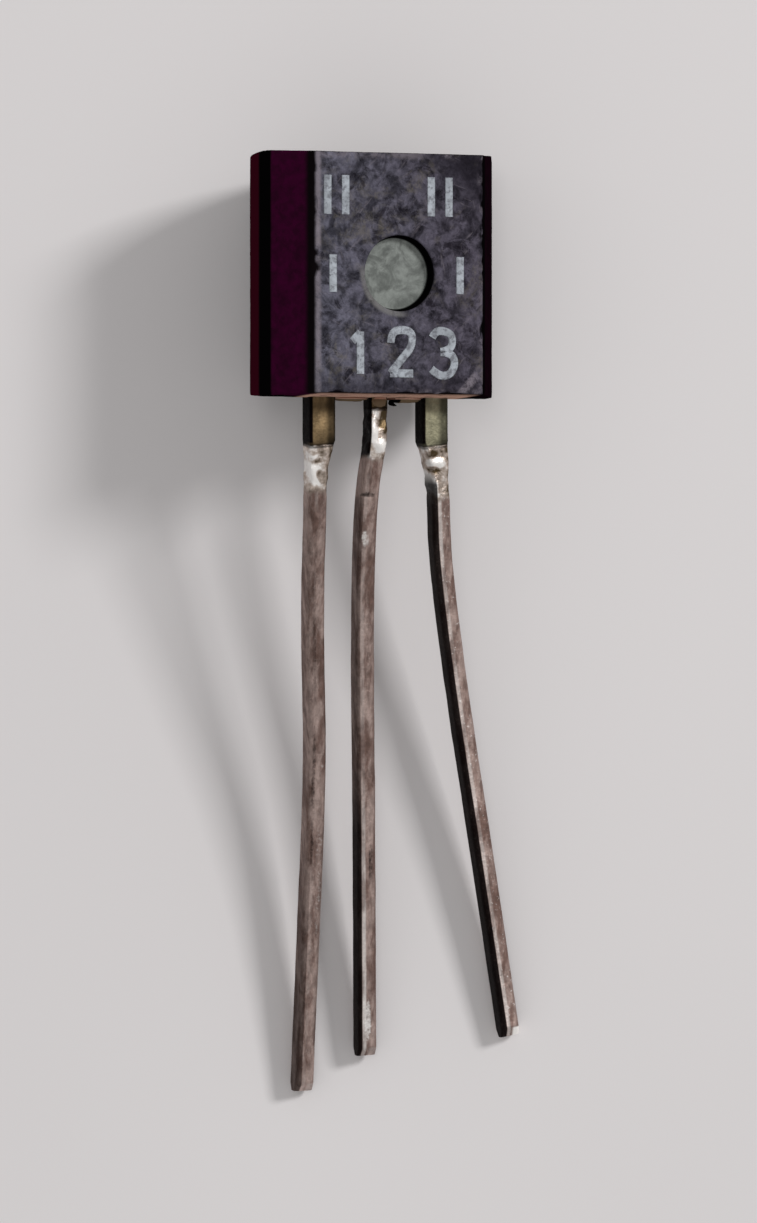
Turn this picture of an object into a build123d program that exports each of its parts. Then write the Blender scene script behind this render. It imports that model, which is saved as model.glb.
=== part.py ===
from build123d import *
import os
from math import cos, radians, sin, sqrt, tan

# Small transistor in a flat-fronted moulded body with three stamped leads, lying on its round back.
# All sizes are in millimetres. The body and what it holds are drawn upright in their own frame:
# X runs across the flat, Y up the body away from the leads, Z out of the flat, and the axis of the
# round back lies on Y. The whole is then rolled onto its back, where the leads are drawn in place.

# Moulded body
BODY_LENGTH = 5.05
BACK_RADIUS = 2.5
FLAT_HEIGHT = 1.43         # flat, above the axis of the round back
FLANK_DEPTH = 0.89         # from the flat back to where a flank meets the straight side
FLANK_ANGLE = 35.5         # flank, off the perpendicular to the flat
END_DRAFT = 3.0            # both ends fall away from the parting line
PARTING_ROUND = 1.0        # softens the slight ridge where the two drafts meet
EDGE_ROUND = 0.08          # along the body
END_ROUND = 0.04           # round both ends
PIN_MARK_WIDTH = 1.46      # floor of the round mould-pin recess in the flat
PIN_MARK_DEPTH = 0.30
PIN_MARK_DRAFT = 7.6
PIN_MARK_ROUND = 0.05
LIP_HEIGHT = 0.06          # resin left standing between the leads at the parting line
FLASH_THICKNESS = 0.07     # sliver of resin squeezed out beside the middle lead
FLASH_OUTLINE = [(0.24, 0.05), (0.43, 0.05), (0.42, -0.06), (0.36, -0.17), (0.32, -0.17), (0.33, -0.09)]
BODY_ROLL = 24.5           # turn about the axis of the round back as it lies

# Stamped strip that the leads are cut from
STRIP_THICKNESS = 0.42
STRIP_HEIGHT = 0.20        # middle of the strip, above the axis of the round back
LEAD_PITCH = 1.27
LEAD_WIDTH = 0.42
LEAD_ROUND = 0.10
SHOULDER_WIDTH = 0.58      # outer leads are wider next to the body
SHOULDER_ROUND = 0.04
SHOULDER_LENGTH = 0.87
TAPER_LENGTH = 1.15
LEAD_FALL = 1.3            # above 1, a lead falls faster near the body and levels out to its tip
BASE_TIP_GAP = 0.06        # the middle lead ends just clear of the surface

# Ends of the strip inside the body
FRAME_GAP = 0.35           # between neighbouring pieces of the strip
NECK_START = 0.30          # where the shoulders' rounded section ends inside the body
BASE_POST_START = 1.0
BASE_POST_WIDTH = 0.90
EMITTER_POST_START = 2.5
EMITTER_POST_WIDTH = 0.85
POST_LENGTH = 0.62
POST_ROUND = 0.08
END_WALL = 0.80            # from the paddle to the top of the body
LOCK_HOLE_WIDTH = 0.40     # hole in the paddle that resin fills
LOCK_HOLE_MARGIN = 0.16
LOCK_NOTCH_WIDTH = 0.24    # half-round notches in the outer necks
LOCK_NOTCH_PLACE = 0.70

# Chip and its bonds
DIE_WIDTH = 0.42
DIE_THICKNESS = 0.18
FILM_THICKNESS = 0.02
FILM_MARGIN = 0.03
PAD_OFFSET = 0.08          # bond pads, off the middle of the chip
WIRE_DIAMETER = 0.03
WIRE_RISE = 0.20           # top of the loop, above the chip
WIRE_KNEE_PLACE = 0.72     # share of the span where the loop turns down
WIRE_KNEE_RISE = 0.10
WIRE_BEND = 0.08
BALL_WIDTH = 0.08
BALL_HEIGHT = 0.025
STITCH_WIDTH = 0.09
STITCH_HEIGHT = 0.015

# Route of each lead beyond its taper, chosen by hand: distance below the body, and drift to +X
COLLECTOR_DRIFT = 0.0
COLLECTOR_ROUTE = [(4.52, -0.08), (7.52, -0.01), (10.72, -0.15), (14.36, -0.31)]
BASE_DRIFT = -0.21
BASE_ROUTE = [(4.92, -0.28), (8.52, -0.235), (13.62, -0.22)]
EMITTER_DRIFT = 0.07
EMITTER_ROUTE = [(3.32, 0.10), (6.22, 0.48), (9.52, 1.0), (13.22, 1.55)]

# Worked out from the sizes above
SHOULDER_HALF = SHOULDER_WIDTH / 2
SHOULDER_OFFSET = (SHOULDER_WIDTH - LEAD_WIDTH) / 2
STRIP_TOP = STRIP_HEIGHT + STRIP_THICKNESS / 2
DIE_TOP = STRIP_TOP + FILM_THICKNESS + DIE_THICKNESS
PADDLE_START = BASE_POST_START + POST_LENGTH + FRAME_GAP
PADDLE_END = BODY_LENGTH - END_WALL
PADDLE_LEFT = -LEAD_PITCH - SHOULDER_HALF
EMITTER_POST_LEFT = LEAD_PITCH + SHOULDER_HALF - EMITTER_POST_WIDTH
PADDLE_RIGHT = EMITTER_POST_LEFT - FRAME_GAP
PADDLE_MIDDLE = (PADDLE_LEFT + PADDLE_RIGHT) / 2
LOCK_HOLE_PLACE = PADDLE_END - LOCK_HOLE_MARGIN - LOCK_HOLE_WIDTH / 2
DIE_PLACE = (PADDLE_START + LOCK_HOLE_PLACE - LOCK_HOLE_WIDTH / 2) / 2

ROLL = radians(BODY_ROLL)
ACROSS = Vector(cos(ROLL), 0, -sin(ROLL))
OUTWARD = Vector(sin(ROLL), 0, cos(ROLL))
ON_ITS_BACK = Pos(0, 0, BACK_RADIUS) * Rot(0, BODY_ROLL, 0)


def lying(across, along, outward):
    """A point of the upright frame, moved to where it is once the part lies on its back."""
    return Vector(0, along, BACK_RADIUS) + ACROSS * across + OUTWARD * outward


def body_section():
    """The flat, slanted flanks, short straight sides and round back, as one closed outline across the body."""
    side_top = FLAT_HEIGHT - FLANK_DEPTH
    flat_half = BACK_RADIUS - FLANK_DEPTH * tan(radians(FLANK_ANGLE))
    right = [(BACK_RADIUS, 0), (BACK_RADIUS, side_top), (flat_half, FLAT_HEIGHT)]
    left = [(-across, outward) for across, outward in reversed(right)]
    back = ThreePointArc((-BACK_RADIUS, 0), (0, -BACK_RADIUS), (BACK_RADIUS, 0))
    outline = make_face(Polyline(*right, *left) + back)
    corners = outline.vertices().filter_by_position(Axis.Y, side_top / 2, 2 * FLAT_HEIGHT)
    return Plane.XZ * fillet(corners, EDGE_ROUND)


def drafted_side():
    """The body seen from its side: longest at the parting line, with both ends falling away from it."""
    fall = tan(radians(END_DRAFT))
    front_fall = (BACK_RADIUS - STRIP_HEIGHT) * fall
    back_fall = (BACK_RADIUS + STRIP_HEIGHT) * fall
    outline = Polyline(
        (0, STRIP_HEIGHT),
        (front_fall, BACK_RADIUS),
        (BODY_LENGTH - front_fall, BACK_RADIUS),
        (BODY_LENGTH, STRIP_HEIGHT),
        (BODY_LENGTH - back_fall, -BACK_RADIUS),
        (back_fall, -BACK_RADIUS),
        close=True,
    )
    side = make_face(outline)
    parting = side.vertices().group_by(Axis.X)[0] + side.vertices().group_by(Axis.X)[-1]
    return Plane.YZ * fillet(parting, PARTING_ROUND)


def pin_mark():
    """The round recess that a mould pin leaves in the middle of the flat."""
    floor = PIN_MARK_WIDTH / 2
    rim = floor + PIN_MARK_DEPTH * tan(radians(PIN_MARK_DRAFT))
    seat = Pos(0, BODY_LENGTH / 2, FLAT_HEIGHT - PIN_MARK_DEPTH)
    return seat * Cone(floor, rim, PIN_MARK_DEPTH, align=(Align.CENTER, Align.CENTER, Align.MIN))


def body_envelope():
    """The moulded body as one solid lump, before what it is moulded round is taken out of it."""
    lump = extrude(body_section(), amount=BODY_LENGTH, dir=(0, 1, 0))
    lump &= extrude(drafted_side(), amount=2 * BACK_RADIUS, both=True)
    creases = lump.edges().filter_by(Axis.Y)
    parting = [edge for edge in lump.edges().filter_by(Axis.X) if edge.center().Z < FLAT_HEIGHT - EDGE_ROUND]
    lump = fillet([edge for edge in lump.edges() if edge not in creases + parting], END_ROUND)
    lump -= pin_mark()
    rim = lump.edges().filter_by(GeomType.CIRCLE).filter_by_position(
        Axis.Z, FLAT_HEIGHT - PIN_MARK_ROUND, FLAT_HEIGHT + PIN_MARK_ROUND
    )
    lump = fillet(rim, PIN_MARK_ROUND)
    lip = Box(2 * (LEAD_PITCH - SHOULDER_HALF), 2 * LIP_HEIGHT, STRIP_THICKNESS)
    flash = extrude(make_face(Polyline(*FLASH_OUTLINE, close=True)), amount=FLASH_THICKNESS / 2, both=True)
    return lump + Pos(0, 0, STRIP_HEIGHT) * (lip + flash)


def stamped(outline):
    """A flat outline of the strip, drawn on X and Y, given the strip's thickness."""
    return Pos(0, 0, STRIP_HEIGHT) * extrude(outline, amount=STRIP_THICKNESS / 2, both=True)


def bar(left, right, start, end):
    """A straight stretch of the strip's outline between two sides and two distances along the body."""
    return Pos((left + right) / 2, (start + end) / 2) * Rectangle(right - left, end - start)


def rounded(outline):
    return fillet(outline.vertices(), POST_ROUND)


def lock_notches(place):
    """The pair of half-round notches in the sides of an outer neck."""
    notch = Circle(LOCK_NOTCH_WIDTH / 2)
    low = Pos(place - SHOULDER_HALF, LOCK_NOTCH_PLACE) * notch
    high = Pos(place + SHOULDER_HALF, LOCK_NOTCH_PLACE) * notch
    return low + high


def collector_frame():
    neck = bar(PADDLE_LEFT, -LEAD_PITCH + SHOULDER_HALF, NECK_START, PADDLE_START + POST_ROUND * 2)
    paddle = rounded(bar(PADDLE_LEFT, PADDLE_RIGHT, PADDLE_START, PADDLE_END))
    hole = Pos(PADDLE_MIDDLE, LOCK_HOLE_PLACE) * Circle(LOCK_HOLE_WIDTH / 2)
    return stamped(neck + paddle - hole - lock_notches(-LEAD_PITCH))


def base_frame():
    neck = bar(-LEAD_WIDTH / 2, LEAD_WIDTH / 2, NECK_START, BASE_POST_START + POST_ROUND * 2)
    post_end = BASE_POST_START + POST_LENGTH
    post = rounded(bar(-BASE_POST_WIDTH / 2, BASE_POST_WIDTH / 2, BASE_POST_START, post_end))
    return stamped(neck + post)


def emitter_frame():
    outer = LEAD_PITCH + SHOULDER_HALF
    neck = bar(LEAD_PITCH - SHOULDER_HALF, outer, NECK_START, EMITTER_POST_START + POST_ROUND * 2)
    post = rounded(bar(EMITTER_POST_LEFT, outer, EMITTER_POST_START, EMITTER_POST_START + POST_LENGTH))
    return stamped(neck + post - lock_notches(LEAD_PITCH))


def square_to(point, direction):
    """The plane across a lead at a point, with its X along the strip's width."""
    thick = direction.cross(ACROSS).normalized()
    return Plane(origin=point, x_dir=thick.cross(direction), z_dir=direction)


def lead_section(plane):
    return plane * RectangleRounded(LEAD_WIDTH, STRIP_THICKNESS, LEAD_ROUND)


def bend_radii(points):
    """At each inner point, nearly the largest arc that its two runs leave room for."""
    radii = []
    for before, point, after in zip(points, points[1:], points[2:]):
        turn = radians((point - before).get_angle(after - point))
        shorter = min((point - before).length, (after - point).length)
        radii.append(0.45 * shorter / tan(turn / 2))
    return radii


def lead_route(across, drift, route, tip_gap):
    """The lead's centre line from the end of its taper to its tip, falling from the strip to the surface."""
    start = lying(across, 0, STRIP_HEIGHT)
    length = route[-1][0]
    half_width = (LEAD_WIDTH / 2 - LEAD_ROUND) * sin(ROLL)
    half_thickness = (STRIP_THICKNESS / 2 - LEAD_ROUND) * cos(ROLL)
    tip_height = half_width + half_thickness + LEAD_ROUND + tip_gap
    points = []
    for distance, shift in [(SHOULDER_LENGTH + TAPER_LENGTH, drift)] + route:
        left_to_fall = (length - distance) / (length - SHOULDER_LENGTH)
        height = tip_height + (start.Z - tip_height) * left_to_fall**LEAD_FALL
        points.append(Vector(start.X + shift, -distance, height))
    return points


def lead_outside(place, width, side, drift, route, tip_gap):
    """The lead from just inside the body to its cut tip: shoulder, taper and bent lead.

    side is -1 or 1 where the lead's outer edge runs straight on from a wider shoulder, and 0 in the middle."""
    down = Vector(0, -1, 0)
    shoulder_end = square_to(lying(place, -SHOULDER_LENGTH, STRIP_HEIGHT), down)
    corner = SHOULDER_ROUND if side else LEAD_ROUND
    shoulder_section = shoulder_end * RectangleRounded(width, STRIP_THICKNESS, corner)
    shoulder = extrude(shoulder_section, amount=-(SHOULDER_LENGTH + NECK_START))
    points = lead_route(place + side * SHOULDER_OFFSET, drift, route, tip_gap)
    lead_start = lead_section(square_to(points[0], (points[1] - points[0]).normalized()))
    taper = loft([shoulder_section, lead_start], ruled=True)
    path = FilletPolyline(*points, radius=bend_radii(points))
    return shoulder + taper + sweep(lead_start, path=path)


def lead(frame, place, width, side, drift, route, tip_gap=0.0):
    return ON_ITS_BACK * frame + lead_outside(place, width, side, drift, route, tip_gap)


def silicon_die():
    seat = Pos(PADDLE_MIDDLE, DIE_PLACE, STRIP_TOP + FILM_THICKNESS)
    return seat * Box(DIE_WIDTH, DIE_WIDTH, DIE_THICKNESS, align=(Align.CENTER, Align.CENTER, Align.MIN))


def die_attach():
    film_width = DIE_WIDTH + 2 * FILM_MARGIN
    seat = Pos(PADDLE_MIDDLE, DIE_PLACE, STRIP_TOP)
    return seat * Box(film_width, film_width, FILM_THICKNESS, align=(Align.CENTER, Align.CENTER, Align.MIN))


def bond_wire(pad_side, post_across, post_along):
    """A wire looped from a ball on the chip to a flattened stitch on a post of the strip."""
    on_base = (Align.CENTER, Align.CENTER, Align.MIN)
    ball_at = Vector(PADDLE_MIDDLE + pad_side * PAD_OFFSET, DIE_PLACE + pad_side * PAD_OFFSET, DIE_TOP)
    stitch_at = Vector(post_across, post_along, STRIP_TOP)
    knee = ball_at + (stitch_at - ball_at) * WIRE_KNEE_PLACE
    points = [
        ball_at + Vector(0, 0, BALL_HEIGHT / 2),
        ball_at + Vector(0, 0, WIRE_RISE),
        Vector(knee.X, knee.Y, DIE_TOP + WIRE_KNEE_RISE),
        stitch_at + Vector(0, 0, STITCH_HEIGHT / 2),
    ]
    path = FilletPolyline(*points, radius=WIRE_BEND)
    start = Plane(origin=points[0], z_dir=(0, 0, 1)) * Circle(WIRE_DIAMETER / 2)
    ball = Pos(*ball_at) * Cylinder(BALL_WIDTH / 2, BALL_HEIGHT, align=on_base)
    stitch = Pos(*stitch_at) * Cylinder(STITCH_WIDTH / 2, STITCH_HEIGHT, align=on_base)
    below_post = Pos(post_across, post_along, STRIP_TOP) * Box(
        STITCH_WIDTH * 2, STITCH_WIDTH * 2, WIRE_DIAMETER, align=(Align.CENTER, Align.CENTER, Align.MAX)
    )
    return sweep(start, path=path) - below_post + ball + stitch


def assemble():
    pieces = {
        "collector_lead": lead(
            collector_frame(), -LEAD_PITCH, SHOULDER_WIDTH, -1, COLLECTOR_DRIFT, COLLECTOR_ROUTE
        ),
        "base_lead": lead(base_frame(), 0, LEAD_WIDTH, 0, BASE_DRIFT, BASE_ROUTE, BASE_TIP_GAP),
        "emitter_lead": lead(emitter_frame(), LEAD_PITCH, SHOULDER_WIDTH, 1, EMITTER_DRIFT, EMITTER_ROUTE),
        "silicon_die": ON_ITS_BACK * silicon_die(),
        "die_attach": ON_ITS_BACK * die_attach(),
        "base_bond_wire": ON_ITS_BACK * bond_wire(-1, 0, BASE_POST_START + POST_LENGTH / 2),
        "emitter_bond_wire": ON_ITS_BACK
        * bond_wire(1, EMITTER_POST_LEFT + POST_LENGTH / 2, EMITTER_POST_START + POST_LENGTH / 2),
    }
    body = ON_ITS_BACK * body_envelope()
    for piece in pieces.values():
        body -= piece
    return {"moulded_body": body, **pieces}


def main():
    pieces = assemble()
    box = Compound(children=[copy for piece in pieces.values() for copy in piece.solids()]).bounding_box()
    to_origin = Pos(-(box.min.X + box.max.X) / 2, -(box.min.Y + box.max.Y) / 2, -box.min.Z)
    os.makedirs("parts", exist_ok=True)
    for name, piece in pieces.items():
        export_step(to_origin * piece, f"parts/{name}.step")
    print("origin is", [round(value, 4) for value in to_origin.position])


main()
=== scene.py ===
"""The looks of a small flat-fronted moulded transistor, lying on its round back with its three cut leads.

Sizes and colours are properties of the scene, each piece has its own operator, and main() runs them all.
The body is drawn upright, as (across, along, outward): across its flat, along it away from the leads,
and out of its flat, all measured from the foot of the round back's axis. lying() then lays it down.
"""

import math

import bmesh
import bpy
from bpy.props import FloatProperty, FloatVectorProperty, IntProperty, PointerProperty
from mathutils import Matrix, Vector, noise


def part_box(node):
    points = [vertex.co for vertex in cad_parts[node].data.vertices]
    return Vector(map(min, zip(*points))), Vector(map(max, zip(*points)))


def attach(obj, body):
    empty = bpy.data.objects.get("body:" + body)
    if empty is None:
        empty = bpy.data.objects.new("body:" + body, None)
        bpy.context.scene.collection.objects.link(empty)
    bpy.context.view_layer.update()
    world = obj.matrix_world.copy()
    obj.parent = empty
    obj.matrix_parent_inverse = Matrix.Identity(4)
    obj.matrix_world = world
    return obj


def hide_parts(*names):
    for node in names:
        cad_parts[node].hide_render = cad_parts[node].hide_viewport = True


bl_info = {
    "name": "Moulded Transistor",
    "version": (1, 0, 0),
    "blender": (4, 5, 0),
    "location": "View3D > Sidebar > Transistor",
    "description": "Models a small moulded transistor with three cut leads",
    "category": "Add Mesh",
}

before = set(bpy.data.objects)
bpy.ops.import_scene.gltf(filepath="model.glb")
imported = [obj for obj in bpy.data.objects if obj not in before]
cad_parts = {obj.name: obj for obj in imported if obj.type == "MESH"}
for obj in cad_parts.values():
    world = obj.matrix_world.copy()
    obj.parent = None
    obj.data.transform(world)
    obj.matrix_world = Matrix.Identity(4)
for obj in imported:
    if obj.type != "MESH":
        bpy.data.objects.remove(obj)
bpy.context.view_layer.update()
BODY_LOW, BODY_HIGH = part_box("moulded_body")
MM = 0.001


def paint(red, green, blue):
    """A colour as a paint chart gives it, 0 to 255, made into the linear colour that a shader takes."""
    return tuple(((value / 255 + 0.055) / 1.055) ** 2.4 for value in (red, green, blue))


def length_property(name, description, millimetres):
    default = millimetres * MM
    return FloatProperty(name=name, description=description, default=default, unit="LENGTH", precision=5)


def angle_property(name, description, degrees):
    return FloatProperty(name=name, description=description, default=math.radians(degrees), subtype="ANGLE")


def colour_property(name, description, red, green, blue):
    return FloatVectorProperty(
        name=name, description=description, default=paint(red, green, blue), subtype="COLOR", min=0, max=1
    )


# Sizes and colours that a user may change

class BodySizes(bpy.types.PropertyGroup):
    """The moulded body"""

    length: length_property("Length", "Along the body at its parting line", 5.05)
    back_radius: length_property("Back radius", "Round back, about its axis", 2.5)
    flat_height: length_property("Flat height", "Flat, above the axis of the round back", 1.43)
    flank_depth: length_property("Flank depth", "From the flat back to where a flank meets the side", 0.89)
    flank_angle: angle_property("Flank angle", "Flank, off the perpendicular to the flat", 35.5)
    end_draft: angle_property("End draft", "Both ends fall away from the parting line by this angle", 3)
    parting_height: length_property("Parting height", "Parting line, above the axis of the round back", 0.2)
    edge_round: length_property("Edge round", "Rounding of the long edges", 0.07)
    end_round: length_property("End round", "Rounding round both ends", 0.035)
    mark_width: length_property("Pin mark width", "Floor of the round mould-pin recess", 1.46)
    mark_depth: length_property("Pin mark depth", "Depth of the round mould-pin recess", 0.3)
    mark_draft: angle_property("Pin mark draft", "Slope of the recess's wall", 7.6)
    mark_round: length_property("Pin mark round", "Rounding of the recess's rim", 0.05)
    roll: angle_property("Roll", "Turn about the axis of the round back as it lies", 24.5)
    mesh_step: length_property("Mesh step", "Usual size of one face", 0.055)


class LeadSizes(bpy.types.PropertyGroup):
    """The three leads and the stamped strip that they are cut from"""

    pitch: length_property("Pitch", "Between neighbouring leads at the body", 1.27)
    width: length_property("Width", "Across the strip", 0.415)
    thickness: length_property("Thickness", "Of the strip", 0.415)
    corner: length_property("Corner", "Rounding of the tinned lead's corners", 0.1)
    shoulder_width: length_property("Shoulder width", "Outer leads next to the body", 0.58)
    shoulder_corner: length_property("Shoulder corner", "Rounding of the bare shoulder's corners", 0.035)
    shoulder_length: length_property("Shoulder length", "Straight shoulder, from the body", 0.87)
    taper_length: length_property("Taper length", "From the shoulder to the full run of the lead", 1.15)
    ripple: length_property("Ripple", "Unevenness of the tin along the lead", 0.012)
    lump: length_property("Lump", "Unevenness of the tin where it was dipped to", 0.07)
    seed: IntProperty(name="Seed", description="Changes the unevenness of the tin", default=7)


class Finishes(bpy.types.PropertyGroup):
    """Colours of the surfaces, some of them painted light and shade"""

    epoxy: colour_property("Epoxy", "Smooth faces of the body", 15, 11, 13)
    # Side: near-black painted shade on the straight sides, the right of the body and the recess wall
    side: colour_property("Side", "Straight sides and the wall of the recess", 5, 4, 5)
    # Back: a painted reflection low on the left of the round back
    back: colour_property("Back", "Warm cast low on the left of the round back", 56, 10, 24)
    # Flank: a painted plum reflection down the left flank
    flank: colour_property("Flank", "Sheen down the middle of the left flank", 60, 8, 42)
    # The flat's own grey, painted paler at the left and darker at the right as shading
    flat_lit_left: colour_property("Flat, left", "Scuffed flat at its left edge", 82, 81, 92)
    flat_shaded_right: colour_property("Flat, right", "Scuffed flat at its right edge", 70, 66, 76)
    # Stain: the stains, and also the darkening towards the flat's bottom edge and top right corner
    stain: colour_property("Stain", "Dark stains and dents in the flat", 16, 12, 18)
    dust: colour_property("Dust", "Olive dust lodged in the flat", 98, 92, 78)
    # Scuff: the wear and scratches, and also the painted highlights along the flat's left and top edges
    scuff: colour_property("Scuff", "Worn edges and scratches", 134, 126, 134)
    # Recess: the floor, painted pale as a reflection
    recess: colour_property("Recess", "Floor of the mould-pin recess", 132, 136, 132)
    # Rubbed rim: a rub on the rim, painted pale as a highlight
    rub: colour_property("Rubbed rim", "Pale crescent rubbed on the rim of the recess", 124, 122, 122)
    # Foot: resin on the foot face, painted bright as a highlight
    foot: colour_property("Foot", "Rough end that the leads come out of", 212, 170, 150)
    flash: colour_property("Flash", "Resin squeezed out under the leads", 116, 98, 78)
    ink: colour_property("Ink", "Printed marks", 172, 178, 186)
    bare: colour_property("Bare alloy", "Shoulders of the leads", 126, 106, 78)
    bare_green: colour_property("Bare alloy, greened", "Shoulders that have tarnished green", 148, 144, 120)
    tin: colour_property("Tin", "Dull tin along the leads", 184, 162, 154)
    # Tin, browned: browned streaks, and painted shade towards the right of each lead
    tin_brown_and_shade: colour_property("Tin, browned", "Streaks where the tin has browned", 124, 100, 92)
    # Bright tin: painted highlights on lumps, ridges, glints and the cut tips
    tin_highlight: colour_property("Bright tin", "Brightest lumps of tin", 252, 248, 244)
    lump_tin: colour_property("Lump tin", "Dull lumps of tin at the tapers", 198, 182, 170)
    # Tin, hollows: painted shade between the lumps
    tin_hollow_shade: colour_property("Tin, hollows", "Between the lumps of tin", 84, 70, 50)
    # Edge shade: painted shade on the leads' side faces and in the hollows of the tin, and the dark lines
    # down some fronts and where the dipping stopped
    painted_lead_shade: colour_property("Edge tarnish", "Stamped side faces of the leads", 10, 4, 6)
    silicon: colour_property("Silicon", "The chip", 92, 94, 102)
    film: colour_property("Bond film", "Under the chip", 190, 190, 192)
    gold: colour_property("Gold", "Bond wires", 236, 196, 110)


class StageSettings(bpy.types.PropertyGroup):
    """Floor, light and camera"""

    floor: colour_property("Floor", "Plain floor", 232, 228, 228)
    camera_height: length_property("Camera height", "Camera above the floor", 162.5)
    camera_across: length_property("Camera across", "Camera to the right of the part's middle", -0.15)
    camera_along: length_property("Camera along", "Camera up the page from the part's middle", 0.292)
    lens: FloatProperty(name="Lens", description="Focal length for a sensor 24 mm high", default=152.6)
    key_power: FloatProperty(name="Key power", description="Watts of the key lamp", default=0.80)
    fill_power: FloatProperty(name="Fill power", description="Watts of the overhead lamp", default=0.16)
    world: FloatProperty(name="World", description="Brightness of the surroundings", default=0.40)


# Where things are

def lying(across, along, outward):
    """A point of the upright body, moved to where it is once the part lies on its back."""
    body = bpy.context.scene.transistor_body
    foot = Vector((BODY_LOW.x + body.back_radius, BODY_HIGH.y - body.length, body.back_radius))
    return Matrix.Rotation(body.roll, 3, "Y") @ Vector((across, along, outward)) + foot


def direction(across, along, outward):
    """A direction of the upright body, turned as the part lies."""
    body = bpy.context.scene.transistor_body
    return Matrix.Rotation(body.roll, 3, "Y") @ Vector((across, along, outward))


# Node trees

class Wire:
    """A value on its way through a node tree, so that sums can be written as plain formulas."""

    def __init__(self, tree, socket):
        self.tree = tree
        self.socket = socket

    def math(self, operation, *others):
        node = self.tree.nodes.new("ShaderNodeMath")
        node.operation = operation
        for socket, value in zip(node.inputs, (self,) + others):
            feed(self.tree, socket, value)
        return Wire(self.tree, node.outputs[0])

    def __add__(self, other):
        return self.math("ADD", other)

    def __sub__(self, other):
        return self.math("SUBTRACT", other)

    def __rsub__(self, other):
        return (self * -1) + other

    def __mul__(self, other):
        return self.math("MULTIPLY", other)

    def __truediv__(self, other):
        return self.math("DIVIDE", other)

    __radd__ = __add__
    __rmul__ = __mul__

    def size(self):
        return self.math("ABSOLUTE")

    def least(self, other):
        return self.math("MINIMUM", other)

    def most(self, other):
        return self.math("MAXIMUM", other)

    def rise(self, start, end, low=0.0, high=1.0, how="SMOOTHSTEP"):
        """Goes from low to high as the value goes from start to end, smoothly unless told otherwise."""
        node = self.tree.nodes.new("ShaderNodeMapRange")
        node.interpolation_type = how
        names = ("Value", "From Min", "From Max", "To Min", "To Max")
        for name, value in zip(names, (self, start, end, low, high)):
            feed(self.tree, node.inputs[name], value)
        return Wire(self.tree, node.outputs[0])

    def ramp(self, start, end, low=0.0, high=1.0):
        """Goes straight from low to high as the value goes from start to end, and no further."""
        return self.rise(start, end, low, high, "LINEAR")


def feed(tree, socket, value):
    """Gives a socket a wire, another node's socket, or a plain value."""
    if isinstance(value, Wire):
        tree.links.new(value.socket, socket)
    elif isinstance(value, bpy.types.NodeSocket):
        tree.links.new(value, socket)
    elif value is not None:
        if socket.type == "RGBA" and len(value) == 3:
            value = (*value, 1)
        socket.default_value = value


def add(tree, kind, inputs=None, **settings):
    """A new node with its settings made and its inputs fed."""
    node = tree.nodes.new(kind)
    for name, value in settings.items():
        setattr(node, name, value)
    for name, value in (inputs or {}).items():
        feed(tree, node.inputs[name], value)
    return node


def made(tree, kind, inputs=None, **settings):
    """What a new node gives out first."""
    return add(tree, kind, inputs, **settings).outputs[0]


def blend(tree, share, first, second, how="MIX"):
    """A colour between two others, or one laid over the other."""
    node = add(tree, "ShaderNodeMix", data_type="RGBA", blend_type=how)
    for number, value in ((0, share), (6, first), (7, second)):
        feed(tree, node.inputs[number], value)
    return Wire(tree, node.outputs[2])


def shaded(tree, colour, share):
    """A colour multiplied by a plain number."""
    grey = made(tree, "ShaderNodeCombineColor", {"Red": share, "Green": share, "Blue": share})
    return blend(tree, 1.0, colour, grey, "MULTIPLY")


def speckle(tree, place, scale, detail=4.0, roughness=0.5, distortion=0.0, seed=0.0):
    """Cloudy noise between 0 and 1 at a scale per millimetre."""
    inputs = {"Vector": place, "W": seed, "Scale": scale, "Detail": detail}
    inputs.update({"Roughness": roughness, "Distortion": distortion})
    return Wire(tree, made(tree, "ShaderNodeTexNoise", inputs, noise_dimensions="4D"))


def turned(tree, place, turn=(0, 0, 0), scale=(1, 1, 1), shift=(0, 0, 0)):
    """A place scaled, turned and shifted."""
    inputs = {"Vector": place, "Location": shift, "Rotation": turn, "Scale": scale}
    return Wire(tree, made(tree, "ShaderNodeMapping", inputs))


def split(tree, place):
    """The three numbers of a place."""
    node = add(tree, "ShaderNodeSeparateXYZ", {"Vector": place})
    return [Wire(tree, socket) for socket in node.outputs]


def surface(name, tree_maker):
    """A material whose shader tree_maker(tree, shader) finishes."""
    material = bpy.data.materials.new(name)
    material.use_nodes = True
    tree = material.node_tree
    tree.nodes.clear()
    shader = add(tree, "ShaderNodeBsdfPrincipled")
    output = add(tree, "ShaderNodeOutputMaterial", {"Surface": shader.outputs[0]})
    output.is_active_output = True
    tree_maker(tree, shader)
    return material


def bump(tree, shader, height, millimetres):
    """Lets a height from 0 to 1 catch the light as if it were that deep."""
    inputs = {"Height": height, "Strength": 1.0, "Distance": millimetres * MM}
    feed(tree, shader.inputs["Normal"], made(tree, "ShaderNodeBump", inputs))


def place_in_body(tree):
    """The place on a piece in the upright body's frame, in millimetres."""
    body = bpy.context.scene.transistor_body
    turn_back = Matrix.Rotation(-body.roll, 3, "Y")
    shift = -(turn_back @ lying(0, 0, 0)) / MM
    coordinates = add(tree, "ShaderNodeTexCoord").outputs["Object"]
    return turned(tree, coordinates, turn=(0, -body.roll, 0), scale=(1 / MM,) * 3, shift=shift)


# Finishes

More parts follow.
